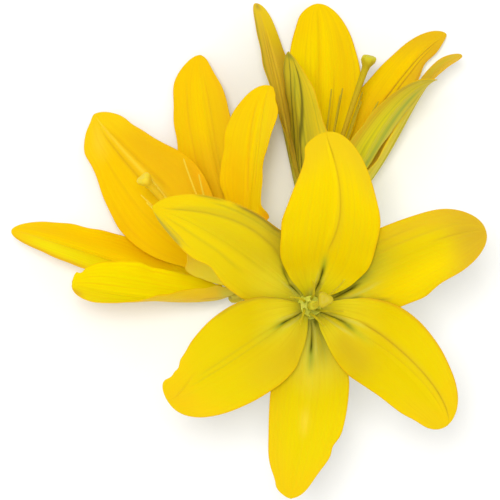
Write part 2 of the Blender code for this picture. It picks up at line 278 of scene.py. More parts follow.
FRONT_TEPALS = (
    Tepal(
        "inner_tepal_top", 82, 15, 30, (37.0, 18, 119), (30.0, 46.5, 111), 19.5,
        widest=0.47, shoulder=1.8, point=0.5,
        margins=((-1, 0.86, 0.4, 0.1), (-1, 0.62, -1.3, 0.08), (1, 0.59, -1.1, 0.07),
                 (1, 0.955, -1.9, 0.04), (1, 0.84, 1.2, 0.1)),
        # Throat painted light against the shade deep in the bloom; tip painted darker as shade where it
        # curls away
        look=dict(throat=(255, 240, 30), throat_place=0.16, middle_place=0.42, tip=(236, 202, 24)),
        marks=(
            Mark((0.16, -0.1), (0.36, -0.03), 0.08, (150, 172, 46), 0.75),
            ridge((0.03, 0.1), (0.24, 0.03), 0.05, 0.75, 0.35),
            ridge((0.03, -0.28), (0.22, -0.2), 0.05, 0.7, 0.3),
            crease((0.0, -0.08), (0.16, -0.12), 0.11, -0.6),
            crease((0.14, -0.12), (0.28, -0.06), 0.065, -0.6, 0.04),
            # Painted shade beside the fold and by the upper right margin, and a painted highlight on the
            # fold's ridge
            Mark((0.4, -0.08), (0.97, 0.0), 0.1, SHADE_GOLD, 0.35, bow=-0.15),
            Mark((0.42, -0.06), (0.97, 0.0), 0.026, FOLD_SHADE_GOLD, 0.75, bow=-0.15, lift=-0.35),
            Mark((0.45, 0.04), (0.95, 0.06), 0.05, HIGHLIGHT_YELLOW, 0.6, bow=-0.13, lift=0.25),
            Mark((0.7, -0.9), (0.92, -0.85), 0.22, SHADE_GOLD, 0.5),
        ),
    ),
    Tepal(
        "outer_tepal_left", 142, 18, 30, (-13, 11, 118), (-38.5, 17, 110), 16.5,
        widest=0.45, point=0.7, margins=((1, 0.65, 2.4, 0.07), (-1, 0.5, 0.7, 0.07)),
        look=dict(throat=(248, 234, 50), middle=(233, 207, 16), middle_place=0.58, tip=(238, 207, 14)),
        marks=(
            # Olive by the throat is the tepal's green with painted shade where it lies under the inner
            # tepals; the dull wash by the upper margin is painted shade and the pale wash a painted
            # highlight
            wash((0.12, -0.6), (0.46, -0.95), 0.36, (158, 158, 54), fade=0.12),
            wash((0.36, -0.95), (0.6, -1.0), 0.3, (204, 182, 50), 0.6),
            wash((0.5, 0.2), (0.86, 0.25), 0.25, (250, 222, 4), 0.45),
            # Dark lines at the throat: the furrows' green, painted near black as shade in the folds
            Mark((0.04, -0.65), (0.16, -0.34), 0.11, (104, 112, 46), 0.85, fade=0.03),
            crease((0.02, -0.24), (0.17, -0.1), 0.1, -0.55),
            Mark((0.1, -0.5), (0.28, -0.36), 0.06, (84, 98, 26), 0.95, fade=0.04, lift=-0.4),
            Mark((0.18, -0.14), (0.3, -0.3), 0.06, (84, 104, 26), 0.9, fade=0.04, lift=-0.4),
            ridge((0.04, 0.0), (0.22, 0.04), 0.06, 0.8, 0.35),
            ridge((0.04, -0.44), (0.2, -0.24), 0.05, 0.7, 0.3),
            # Gold and brown lines and washes: painted shade along the folds, over the middle and on the rim;
            # the olive strip is painted shade on the curled edge by the tip
            Mark((0.24, -0.26), (0.93, -0.16), 0.055, (200, 174, 36), bow=-0.36, lift=-0.35),
            Mark((0.3, -0.42), (0.9, -0.3), 0.09, (212, 188, 36), 0.55, bow=-0.36),
            shaded_fold((0.4, -0.82), (0.76, -0.8), 0.045, (190, 174, 40), 0.6, -0.25),
            Mark((0.45, -1.0), (0.69, -1.0), 0.09, RIM_SHADE_BROWN, 1.0, fade=0.04),
            Mark((0.75, -1.0), (0.84, -1.0), 0.08, RIM_SHADE_BROWN, 0.9, fade=0.03),
            wash((0.34, -0.1), (0.78, 0.0), 0.3, (214, 190, 30), 0.4),
            Mark((0.82, 1.0), (0.98, 0.9), 0.16, (168, 154, 62), 0.9, fade=0.03),
            shaded_fold((0.8, 0.78), (0.95, 0.6), 0.035, (204, 178, 50), 0.7, -0.25),
            shaded_fold((0.5, 0.42), (0.92, 0.36), 0.06, (212, 188, 30), 0.6, -0.2),
            shaded_fold((0.4, 0.08), (0.9, 0.06), 0.05, (220, 196, 26), 0.5, -0.15),
        ),
    ),
    Tepal(
        "inner_tepal_lower_left", 211, 15, 30, (-9, -45.5, 117), (-33, -59, 108), 19,
        point=0.45,
        margins=((-1, 0.76, 1.8, 0.1), (-1, 0.84, 2.8, 0.06), (-1, 0.875, 1.5, 0.02),
                 (-1, 0.92, 4.1, 0.045)),
        look=dict(throat=(252, 239, 50), middle=(232, 207, 10), middle_place=0.55),
        marks=(
            wash((0.12, 0.0), (0.45, -0.05), 0.2, (206, 206, 52), 0.5),
            # Painted shade over the lower side
            wash((0.2, 0.75), (0.6, 0.6), 0.4, SHADE_GOLD, 0.6, fade=0.12),
            Mark((0.16, -0.06), (0.32, -0.08), 0.09, LEAF_GREEN, 0.85),
            crease((0.0, 0.08), (0.14, -0.02), 0.12, -0.6),
            crease((0.13, -0.02), (0.26, -0.08), 0.065, -0.5, 0.04),
            ridge((0.03, 0.26), (0.28, 0.08), 0.05, 0.9, 0.4),
            ridge((0.03, -0.14), (0.28, -0.22), 0.05, 0.9, 0.4),
            shaded_fold((0.26, -0.13), (0.8, -0.1), 0.028, (216, 194, 32), 0.55, -0.2),
            shaded_fold((0.26, 0.02), (0.84, 0.02), 0.028, (216, 194, 32), 0.6, -0.25),
            # Painted shade on the curled tip and along the upper rim
            Mark((0.88, 0.2), (1.0, 0.1), 0.5, (238, 196, 24), 0.45, fade=0.04),
            shaded_fold((0.84, -0.2), (0.97, 0.12), 0.04, (224, 184, 28), 0.55, -0.25),
            Mark((0.1, -1.0), (0.6, -1.0), 0.06, (170, 150, 50), 0.7),
        ),
    ),
    Tepal(
        "outer_tepal_bottom", 270, 18, 30, (23.5, -70, 113), (16, -98.5, 105), 16,
        widest=0.5, point=0.6,
        margins=((1, 0.74, 1.4, 0.035), (1, 0.87, 2.2, 0.1), (-1, 0.97, -1.3, 0.03), (-1, 0.85, -0.8, 0.08)),
        look=dict(root=(218, 214, 90), throat=(244, 231, 76), throat_place=0.24, middle=(235, 211, 8),
                  middle_place=0.6),
        marks=(
            # Painted shade by the left margin; the olive and dark green by the root are the throat's green
            # with painted shade where the inner tepals overlap it
            wash((0.3, -0.9), (0.9, -0.8), 0.25, (234, 198, 22), 0.5),
            wash((0.06, 0.6), (0.34, 0.3), 0.26, (172, 170, 58), 0.7),
            Mark((0.0, 0.6), (0.08, 0.5), 0.24, (104, 112, 38), fade=0.04),
            Mark((0.18, -0.04), (0.38, -0.04), 0.12, (160, 176, 56), 0.75, fade=0.07),
            crease((0.02, 0.03), (0.27, -0.05), 0.08, -0.55, 0.04),
            Mark((0.04, 0.22), (0.3, 0.1), 0.05, (224, 218, 96), lift=0.35),
            Mark((0.04, -0.2), (0.3, -0.2), 0.05, (216, 210, 84), 0.65, lift=0.3),
            # Painted highlight
            Mark((0.6, -0.04), (0.7, -0.02), 0.12, (253, 224, 70), 0.5, fade=0.05),
        ),
    ),
    Tepal(
        "inner_tepal_lower_right", 331, 15, 30, (63, -41.5, 115), (78, -69.5, 107), 18,
        point=0.5, roll=(-8, -15),
        margins=((1, 0.8, 1.4, 0.15), (-1, 0.72, 1.6, 0.15), (-1, 0.89, 1.0, 0.05)),
        look=dict(throat=(252, 239, 48), middle=(233, 207, 6), middle_place=0.56),
        marks=(
            # Painted shade
            wash((0.28, -0.5), (0.56, -0.6), 0.36, (219, 188, 36), 0.75),
            Mark((0.24, -0.02), (0.44, -0.05), 0.1, (200, 204, 56), 0.65, fade=0.08),
            Mark((0.13, 0.05), (0.32, -0.04), 0.1, LEAF_GREEN, 0.95, bow=0.03, fade=0.05, lift=-0.3),
            crease((0.0, -0.12), (0.14, 0.02), 0.12, -0.6),
            crease((0.12, 0.01), (0.24, 0.05), 0.07, -0.5, 0.04),
            ridge((0.04, -0.34), (0.34, -0.19), 0.045, 0.9, 0.4),
            ridge((0.04, 0.1), (0.38, 0.19), 0.045, 0.85, 0.4),
            # Painted shade along the fold and on the rim
            Mark((0.12, 0.22), (0.4, 0.28), 0.02, (198, 170, 40), 0.6),
            Mark((0.36, 0.24), (0.98, 0.36), 0.09, SHADE_GOLD, 0.5, bow=-0.05),
            Mark((0.36, 0.24), (0.98, 0.36), 0.026, (200, 164, 30), 0.85, bow=-0.05, lift=-0.45),
            shaded_fold((0.42, 0.0), (0.9, 0.16), 0.028, (222, 192, 26), 0.6, -0.2),
            Mark((0.3, 1.0), (0.95, 1.0), 0.05, RIM_SHADE_WARM, 0.6),
        ),
    ),
    Tepal(
        "outer_tepal_right", 29, 18, 30, (66, 0, 114), (93.5, 7.5, 106), 16.5,
        widest=0.5, point=0.5,
        margins=((1, 0.86, -1.4, 0.12), (-1, 0.72, 1.2, 0.1), (-1, 0.64, -1.1, 0.06)),
        # Tip painted darker as shade where it curls away
        look=dict(throat=(244, 230, 56), middle=(232, 206, 12), middle_place=0.6, tip=(220, 181, 38)),
        marks=(
            # Olive wash: the tepal's green with painted shade; the bright wash is a painted highlight
            wash((0.28, 0.2), (0.55, 0.35), 0.4, (192, 184, 44), 0.65, fade=0.12),
            wash((0.4, -0.6), (0.8, -0.5), 0.36, HIGHLIGHT_YELLOW, 0.7),
            Mark((0.12, -0.1), (0.4, 0.1), 0.16, (150, 158, 52), 0.75),
            # Painted shade where the blade passes under the top tepal
            Mark((0.08, -0.5), (0.3, -0.5), 0.09, (138, 138, 50), 0.85, fade=0.04),
            Mark((0.26, -0.52), (0.46, -0.72), 0.045, (190, 170, 46), 0.6),
            crease((0.02, -0.38), (0.3, -0.08), 0.08, -0.55, 0.05),
            Mark((0.06, -0.56), (0.42, -0.24), 0.04, (224, 216, 86), lift=0.35),
            # Painted shade by the margin and on the tip, which curls away
            wash((0.55, 0.75), (0.9, 0.8), 0.24, (228, 190, 36), 0.7),
            shaded_fold((0.5, 0.42), (0.88, 0.5), 0.04, (220, 188, 36), 0.55, -0.2),
            shaded_fold((0.4, 0.62), (0.7, 0.7), 0.035, (216, 186, 38), 0.5, -0.2),
            Mark((0.86, 0.15), (1.0, 0.0), 0.7, (210, 172, 40), 0.65),
            shaded_fold((0.78, 0.2), (0.96, 0.22), 0.04, (200, 162, 40), 0.5, -0.2),
        ),
    ),
)

FRONT = Bloom(
    name="front_bloom", base=(25.0, -23.0, 64.0), axis=(0.05, 0.03, 1.0), zero=(1, 0, 0),
    look=FRONT_LOOK, petal_slot="front_petal", pistil_length=70.0, pistil_sweep=(0.5, 1.8, 0.0),
    filament_length=50.0, filament_azimuth=25.0, filament_swerve=20.0,
    filament_spreads=(13, 8, 10, 9, 7, 8),
    # The pale first colours of the filaments and the pistil are painted light, brighter than their own
    # against the shade deep in the bloom
    filament_colours=((244, 242, 88), (238, 228, 60), (232, 214, 44)),
    pistil_colours=((246, 250, 96), (246, 244, 88), (238, 226, 60), (188, 154, 30), (206, 184, 32)),
    tepals=FRONT_TEPALS,
)

LEFT_TEPALS = (
    Tepal(
        "inner_tepal_right", 65, 30, 24, (0.5, 53, 47), (8.2, 69.2, 38), 18,
        roll=(32, 36),
        margins=((1, 0.78, -2.6, 0.13), (-1, 0.63, 5.6, 0.1), (-1, 0.78, 3.0, 0.08), (-1, 0.93, 3.0, 0.045),
                 (-1, 0.975, 1.0, 0.02), (-1, 0.43, -6.0, 0.06)),
        marks=(
            wash((0.3, 0.5), (0.65, 0.6), 0.5, (254, 199, 8), 0.6, fade=0.12),
            wash((0.58, -0.3), (0.92, -0.1), 0.35, LEMON, 0.65),
            shaded_fold((0.45, 0.1), (0.9, 0.3), 0.05, (242, 186, 20), 0.55, -0.35),
            shaded_fold((0.5, -0.35), (0.92, -0.05), 0.04, (244, 190, 18), 0.5, -0.25),
            Mark((0.38, -1.0), (0.445, -1.0), 0.22, (250, 168, 20), 0.95, fade=0.03, lift=-5.2),
        ),
    ),
    Tepal(
        "outer_tepal_upper", 122, 22, 22, (-25, 62, 12), (-21.6, 84.3, 5), 15.5,
        roll=(16, 18),
        margins=((-1, 0.92, 1.8, 0.08), (-1, 0.15, 1.8, 0.1), (1, 0.9, -2.0, 0.07), (1, 0.64, 0.9, 0.08)),
        look=dict(middle=(249, 205, 11), tip=(254, 207, 8)),
        marks=(
            # Painted shade
            wash((0.2, -0.1), (0.62, -0.1), 0.6, (240, 192, 24), 0.75, fade=0.12),
            Mark((0.62, 0.15), (0.9, 0.0), 0.3, (255, 217, 4), 0.7, fade=0.08),
            shaded_fold((0.45, 0.48), (0.86, 0.52), 0.04, (240, 188, 24), 0.55, -0.25),
            shaded_fold((0.4, -0.2), (0.85, -0.3), 0.05, (238, 186, 26), 0.45, -0.3),
            Mark((0.3, -0.95), (0.92, -0.9), 0.2, (246, 188, 20), 0.5),
        ),
    ),
    Tepal(
        "inner_tepal_back", 180, 22, 22, (-57, 41.5, 6.5), (-67.5, 59, 0.45), 22,
        widest=0.5, shoulder=1.4, cup=(55, 34, 10),
        margins=((-1, 0.77, 2.5, 0.11), (-1, 0.66, 1.2, 0.08), (-1, 0.85, 0.7, 0.04), (1, 0.76, 1.1, 0.07),
                 (1, 0.88, -1.3, 0.045), (1, 0.98, 1.5, 0.025), (1, 0.5, -0.8, 0.1), (1, 0.3, -3.2, 0.16)),
        look=dict(middle=(252, 208, 8), tip=(253, 213, 20)),
        marks=(
            wash((0.1, 0.5), (0.45, 0.5), 0.5, (255, 210, 2), 0.7),
            # Painted shade over the middle
            wash((0.38, -0.5), (0.84, -0.6), 0.5, (240, 190, 24)),
            Mark((0.3, -0.85), (0.52, -0.95), 0.25, (250, 180, 26), 0.6, fade=0.08),
            Mark((0.82, 0.5), (0.95, 0.3), 0.25, (252, 215, 54), 0.65),
            shaded_fold((0.45, 0.02), (0.9, 0.13), 0.045, (226, 176, 30), 0.7, -0.3),
            shaded_fold((0.5, -0.24), (0.9, -0.12), 0.04, (230, 180, 26), 0.65, -0.25),
            # Painted highlight on the ridge
            Mark((0.5, -0.11), (0.97, 0.0), 0.045, (254, 221, 66), 0.7, lift=0.35),
            shaded_fold((0.3, 0.4), (0.8, 0.5), 0.035, (240, 190, 20), 0.4, -0.2),
        ),
    ),
    Tepal(
        "outer_tepal_far_left", 242, 44, 22, (-78.5, 4.6, 24), (-102, 8.7, 17), 13.2,
        margins=((-1, 0.67, 1.5, 0.06), (1, 0.64, -2.4, 0.08)),
        # Root, throat and the lemon wash are painted light, bright against the shade over the blade's lower
        # part
        look=dict(root=(255, 226, 16), throat=(255, 230, 3), middle=(255, 217, 1)),
        marks=(
            wash((0.1, 0.7), (0.9, 0.55), 0.5, (255, 240, 1), 1.0),
            Mark((0.3, -0.6), (0.9, -0.5), 0.35, (254, 202, 4), 0.6),
            shaded_fold((0.3, 0.02), (0.85, 0.12), 0.035, (244, 196, 14), 0.6, -0.35),
            # Painted shade on the rim
            Mark((0.62, 1.0), (0.98, 1.0), 0.12, (226, 170, 30)),
        ),
    ),
    Tepal(
        "inner_tepal_lower_left", 300, 64, 13, (-57, -18.1, 49), (-74, -14.5, 52), 17,
        shoulder=2.8, point=0.5, root_share=0.4, cup=(85, 80, 10), roll=(-26, -46),
        margins=((1, 0.2, -2.3, 0.1), (1, 0.74, 1.2, 0.06), (-1, 0.2, -2.8, 0.12), (-1, 0.945, 1.4, 0.025),
                 (-1, 0.985, -2.0, 0.02)),
        look=dict(root=(255, 232, 10), throat=(255, 238, 3), middle=(255, 238, 1), tip=(255, 232, 1),
                  outside_root=(224, 210, 78), outside=(255, 214, 20), keel=(255, 208, 24)),
        marks=(
            # Painted shade on the rim and on the curled tip
            Mark((0.08, -1.0), (0.3, -1.0), 0.05, (204, 168, 34), 0.7),
            Mark((0.95, 0.7), (1.0, 0.9), 0.35, (226, 176, 40), fade=0.03),
            shaded_fold((0.2, 0.1), (0.8, 0.1), 0.04, (244, 206, 10), 0.5, -0.3),
            Mark((0.14, 0.5), (0.4, 0.5), 0.4, (255, 204, 24), outside=True),
            Mark((0.03, 0.35), (0.24, 0.45), 0.06, (216, 160, 36), fade=0.03, outside=True),
        ),
    ),
    Tepal(
        "outer_tepal_near", 2, 25, 25, (-16, 0, 70), (-21, 8, 88), 11.5,
        margins=((-1, 0.16, 0.2, 0.1), (-1, 0.6, -2.0, 0.12)),
        # Painted light: kept bright, keel included, against the shade of the tepals over it
        look=dict(throat=(255, 226, 40), middle=(255, 226, 40), outside_root=(255, 226, 40),
                  outside=(255, 230, 44), keel=(255, 220, 34)),
    ),
)

LEFT = Bloom(
    name="left_bloom", base=(-5.0, -16.2, 17.0), axis=(-0.54, 0.68, 0.5), zero=(0, 0, 1),
    look=LEFT_LOOK, petal_slot="left_petal", pistil_length=70.0, pistil_sweep=(-2.0, -1.1, 0.0),
    filament_length=64.0, filament_azimuth=0.0,
    filament_spreads=(6, 15, 14, 9, 5, 5),
    filament_colours=((222, 206, 70), (252, 214, 50), (254, 222, 70)),
    pistil_colours=((214, 200, 66), (236, 198, 40), (246, 197, 24), (244, 206, 40), (250, 222, 54)),
    tepals=LEFT_TEPALS,
)

TOP_TEPALS = (
    Tepal(
        "inner_tepal_near_left", 320.5, 25, 25, (21, 66, 44), (16, 82.5, 51), 16,
        point=0.75, roll=(-14, -14), margins=((1, 0.62, 1.6, 0.1),),
        marks=(
            Mark((0.3, -0.6), (0.9, 0.2), 0.2, (208, 196, 46), 0.7, outside=True),
            # Painted shade on the rim
            Mark((0.5, -1.0), (0.96, -1.0), 0.22, (150, 136, 44), outside=True),
            Mark((0.3, 0.6), (0.92, 0.9), 0.28, (242, 214, 38), 0.9, outside=True),
            Mark((0.15, -0.9), (0.97, -0.1), 0.05, (122, 118, 36), 0.95, lift=-0.3, outside=True),
            Mark((0.2, -0.62), (0.9, 0.16), 0.04, (160, 154, 42), 0.7, lift=-0.2, outside=True),
            Mark((0.25, -0.34), (0.95, 0.55), 0.06, (122, 116, 36), 0.95, lift=-0.3, outside=True),
            Mark((0.96, 0.0), (1.0, 0.0), 1.0, (124, 132, 52), 0.7, fade=0.02, outside=True),
        ),
    ),
    Tepal(
        "outer_tepal_near_right", 34, 21, 28, (56.5, 68, 61), (77, 70, 63), 13.2,
        root_share=0.18, roll=(10, 12),
        margins=((-1, 0.58, 4.6, 0.15), (-1, 0.78, 3.2, 0.12), (1, 0.22, 1.6, 0.12)),
        look=dict(outside_root=(232, 226, 52), outside=(232, 214, 40)),
        marks=(
            Mark((0.35, -0.15), (0.76, -0.05), 0.32, (228, 215, 32), fade=0.1, outside=True),
            Mark((0.4, -0.75), (0.92, -0.8), 0.22, (222, 178, 38), 0.85, outside=True),
            Mark((0.42, -0.5), (0.78, -0.55), 0.03, (204, 160, 32), 0.5, outside=True),
            Mark((0.25, 0.42), (0.88, 0.48), 0.17, (172, 184, 52), 0.9, outside=True),
            Mark((0.25, 0.95), (0.85, 0.95), 0.12, (200, 188, 44), outside=True),
        ),
    ),
    Tepal(
        "inner_tepal_right", 93.5, 36, 40, (67, 75, 26), (90, 82.5, 27.5), 13,
        widest=0.42, point=0.5, roll=(-8, 5),
        margins=((-1, 0.5, 2.2, 0.18), (1, 0.5, -2.2, 0.22), (1, 0.89, -1.6, 0.09), (-1, 0.96, -1.0, 0.04)),
        # Root and throat painted light against the shade on this inner face
        look=dict(root=(244, 220, 66), throat=(244, 214, 54), middle=(222, 184, 42), tip=(238, 194, 36),
                  outside=(238, 214, 50)),
        marks=(
            Mark((0.8, 0.5), (0.98, 0.5), 0.3, (216, 196, 40), 0.7),
            shaded_fold((0.78, -0.2), (0.98, -0.1), 0.05, (204, 160, 36), 0.6, -0.25),
            Mark((0.42, 0.85), (0.74, 0.72), 0.04, (170, 98, 26), 0.95, fade=0.04),
            Mark((0.3, 0.7), (0.8, 0.9), 0.3, (206, 190, 46), 0.7, outside=True),
            Mark((0.25, 0.2), (0.75, 0.35), 0.05, (226, 170, 34), 0.7, outside=True),
        ),
    ),
    Tepal(
        "outer_tepal_back_right", 152, 20, 25, (66, 88, 4.95), (85, 93.5, 2.95), 10.5,
        margins=((1, 0.5, -2.0, 0.15), (-1, 0.53, 2.4, 0.18), (-1, 0.83, 2.2, 0.06)),
        look=dict(root=(255, 236, 30), throat=(255, 230, 16), middle=(254, 215, 6), tip=(238, 192, 26)),
        marks=(
            # Painted shade over the lower part
            wash((0.3, 0.2), (0.6, 0.3), 0.4, (240, 192, 24), 0.6),
            Mark((0.7, -0.6), (0.98, -0.8), 0.32, (230, 182, 34)),
            Mark((0.5, -0.85), (0.92, -1.0), 0.12, (206, 150, 44)),
            shaded_fold((0.48, 0.18), (0.95, -0.3), 0.05, (184, 132, 36), 0.95, -0.35),
            shaded_fold((0.45, -0.1), (0.9, -0.45), 0.05, (190, 140, 36), 0.85, -0.25),
        ),
    ),
    Tepal(
        "inner_tepal_back_left", 208, 15, 25, (33, 86, 9), (29.3, 106.5, 5), 17,
        widest=0.6, roll=(-6, -6), margins=((1, 0.95, -0.9, 0.05),),
        look=dict(root=(255, 240, 24), throat=(255, 238, 6), middle=(255, 226, 1), tip=(253, 215, 4)),
        marks=(
            wash((0.2, 0.5), (0.7, 0.5), 0.4, (253, 225, 2), 0.7),
            # Painted shade on the right side
            wash((0.5, -0.65), (0.88, -0.6), 0.35, (246, 203, 12), 0.7),
            shaded_fold((0.55, 0.05), (0.95, 0.05), 0.08, (244, 200, 14), 0.5, -0.35),
            shaded_fold((0.3, -0.25), (0.66, -0.32), 0.03, (230, 192, 24), 0.6, -0.2),
            shaded_fold((0.3, 0.2), (0.7, 0.18), 0.03, (240, 204, 16), 0.5, -0.2),
        ),
    ),
    Tepal(
        "outer_tepal_far_left", 262, 25, 25, (9, 87.5, 22), (3, 105.5, 18), 13,
        shoulder=3.0, point=0.45, roll=(-10, -10),
        look=dict(throat=(234, 200, 60), throat_place=0.4, middle=(236, 198, 50),
                  middle_place=0.7, tip=(250, 216, 8), outside=(180, 174, 46)),
        marks=(
            Mark((0.8, -0.6), (1.0, -0.3), 0.5, (248, 214, 12), 0.85, fade=0.08),
            shaded_fold((0.3, 0.3), (0.86, 0.35), 0.05, (184, 152, 46), 0.5, -0.25),
            shaded_fold((0.3, -0.25), (0.86, -0.12), 0.05, (178, 144, 46), 0.5, -0.25),
            Mark((0.25, 1.0), (0.95, 1.0), 0.2, (150, 148, 42), 0.9),
            Mark((0.97, 0.2), (1.0, 0.2), 0.5, (184, 148, 58), 0.7, fade=0.015),
        ),
    ),
)

TOP = Bloom(
    name="top_bloom", base=(29.2, 12.0, 14.0), axis=(0.228, 0.933, 0.276), zero=(0, 0, 1),
    look=TOP_LOOK, petal_slot="top_petal", pistil_length=74.0, pistil_sweep=(4.5, 0.5, 0.0),
    filament_length=60.0, filament_azimuth=30.0,
    filament_spreads=(7, 9, 7, 4, 5, 5),
    filament_colours=((196, 192, 58), (212, 198, 46), (200, 182, 46)),
    pistil_colours=((204, 206, 64), (206, 188, 50), (214, 186, 40), (208, 190, 38), (220, 208, 40)),
    tepals=TOP_TEPALS,
)

BLOOMS = (FRONT, LEFT, TOP)


# Small helpers


def unit(vectors):
    """A vector, or each of an array of them, at length 1."""
    vectors = np.asarray(vectors, float)
    return vectors / np.linalg.norm(vectors, axis=-1, keepdims=True)


def blend(three, s):
    """A quadratic curve through a value at the root, a pull at the middle and a value at the tip."""
    return (1 - s) ** 2 * three[0] + 2 * s * (1 - s) * three[1] + s**2 * three[2]


def hump(value, place, width):
    """A smooth bump of height 1 at a place."""
    return np.exp(-(((value - place) / width) ** 2))


def paint(colour):
    """A colour as it is seen under the lights, 0 to 255, as linear red, green, blue and alpha."""
    shares = [channel / 255 for channel in colour]
    linear = [c / 12.92 if c <= 0.04045 else ((c + 0.055) / 1.055) ** 2.4 for c in shares]
    return (*[c / LIGHT_GAIN for c in linear], 1.0)


def add_piece(name, points, faces, surface, node, layers=()):
    """A smooth mesh object that rides on the root body and stands for one node of the frame."""
    mesh = bpy.data.meshes.new(name)
    placed = (np.asarray(points, float) - FOOTPRINT_MIDDLE) * MM
    placed[:, 2] = np.maximum(placed[:, 2], RESTING_HEIGHT * MM)
    mesh.from_pydata(placed.tolist(), [], faces)
    mesh.polygons.foreach_set("use_smooth", [True] * len(mesh.polygons))
    for layer, values in layers:
        made = mesh.attributes.new(layer, "FLOAT", "POINT")
        made.data.foreach_set("value", np.asarray(values, np.float32))
    mesh.materials.append(surface)
    piece = bpy.data.objects.new(name, mesh)
    bpy.context.scene.collection.objects.link(piece)
    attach(piece, "root")
    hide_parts(node)


# Materials


class Nodes:
    """Adds nodes to one new material and returns their output sockets."""

    def __init__(self, name):
        self.material = bpy.data.materials.new(name)
        self.material.use_nodes = True
        self.tree = self.material.node_tree
        self.shader = self.tree.nodes["Principled BSDF"]

    def put(self, socket, value):
        if isinstance(value, bpy.types.NodeSocket):
            self.tree.links.new(value, socket)
        else:
            socket.default_value = value

    def fill(self, node, inputs):
        """Sets or links a node's inputs by name, with underscores for the names' spaces."""
        for name, value in inputs.items():
            self.put(node.inputs[name.replace("_", " ")], value)
        return node

    def add(self, kind, **inputs):
        return self.fill(self.tree.nodes.new("ShaderNode" + kind), inputs)

    def finish(self, **inputs):
        self.fill(self.shader, inputs)
        return self.material

    def attribute(self, name):
        node = self.add("Attribute")
        node.attribute_name = name
        return node.outputs["Fac"]

    def place(self):
        return self.add("TexCoord").outputs["Object"]

    def math(self, operation, *values):
        node = self.add("Math")
        node.operation = operation
        for socket, value in zip(node.inputs, values):
            self.put(socket, value)
        return node.outputs[0]

    def ramp(self, value, stops):
        """Colours by place along a value, smooth between the places."""
        node = self.add("ValToRGB", Fac=value)
        node.color_ramp.interpolation = "EASE"
        elements = node.color_ramp.elements
        for _ in range(len(stops) - len(elements)):
            elements.new(0.5)
        for element, (place, colour) in zip(elements, stops):
            element.position = place
            element.color = paint(colour)
        return node.outputs["Color"]

    def rise(self, value, start, end):
        """0 before start and 1 after end, smooth between them; start may be the higher one."""
        low, high = sorted((start, end))
        before, after = (0.0, 1.0) if start < end else (1.0, 0.0)
        node = self.add("MapRange", Value=value, From_Min=low, From_Max=high, To_Min=before, To_Max=after)
        node.interpolation_type = "SMOOTHSTEP"
        return node.outputs["Result"]

    def line(self, value, place, width):
        """A smooth line of strength 1 where value is at place."""
        offset = self.math("DIVIDE", self.math("SUBTRACT", value, place), width)
        return self.math("EXPONENT", self.times(offset, offset, -1.0))

    def times(self, *values):
        product = values[0]
        for value in values[1:]:
            product = self.math("MULTIPLY", product, value)
        return product

    def stroke(self, along, across, mark):
        """Strength of a mark at a place on the blade."""
        t = self.add("MapRange", Value=along, From_Min=mark.start[0], From_Max=mark.end[0]).outputs[0]
        centre = self.math("MULTIPLY_ADD", t, mark.end[1] - mark.start[1], mark.start[1])
        if mark.bow:
            arc = self.times(t, self.math("SUBTRACT", 1.0, t))
            centre = self.math("MULTIPLY_ADD", arc, 4 * mark.bow, centre)
        ends = self.times(
            self.rise(along, mark.start[0] - mark.fade, mark.start[0] + mark.fade),
            self.rise(along, mark.end[0] + mark.fade, mark.end[0] - mark.fade),
        )
        return self.times(self.line(across, centre, mark.width), ends, mark.strength)

    def mix(self, factor, first, second):
        node = self.add("Mix")
        node.data_type = "RGBA"
        self.put(node.inputs[0], factor)
        self.put(node.inputs[6], first)
        self.put(node.inputs[7], second)
        return node.outputs[2]

    def vector(self, x, y, z):
        return self.add("CombineXYZ", X=x, Y=y, Z=z).outputs[0]

    def noise(self, **inputs):
        return self.add("TexNoise", **inputs).outputs["Fac"]

    def bump(self, height, strength, distance):
        return self.add("Bump", Height=height, Strength=strength, Distance=distance).outputs["Normal"]


def face_colours(n, look, place):
    """Colours of the inner and the outer face from root to tip."""
    inner = n.ramp(place, (
        (0.03, look.root), (look.throat_place, look.throat),
        (look.middle_place, look.middle), (0.78, look.middle), (1.0, look.tip),
    ))
    outside = n.ramp(place, (
        (0.05, look.outside_root), (0.5, look.outside), (1.0, look.outside_tip),
    ))
    return inner, outside


def keel_strength(n, along, across, side):
    """Two thin lines and a soft band along the middle of the outer face."""
    lines = n.times(n.line(side, 0.12, 0.035), n.rise(along, 0.95, 0.6), 0.5)
    band = n.times(n.line(across, 0.0, 0.14), n.rise(along, 0.8, 0.2), 0.35)
    return n.math("MINIMUM", n.math("ADD", lines, band), 1.0)


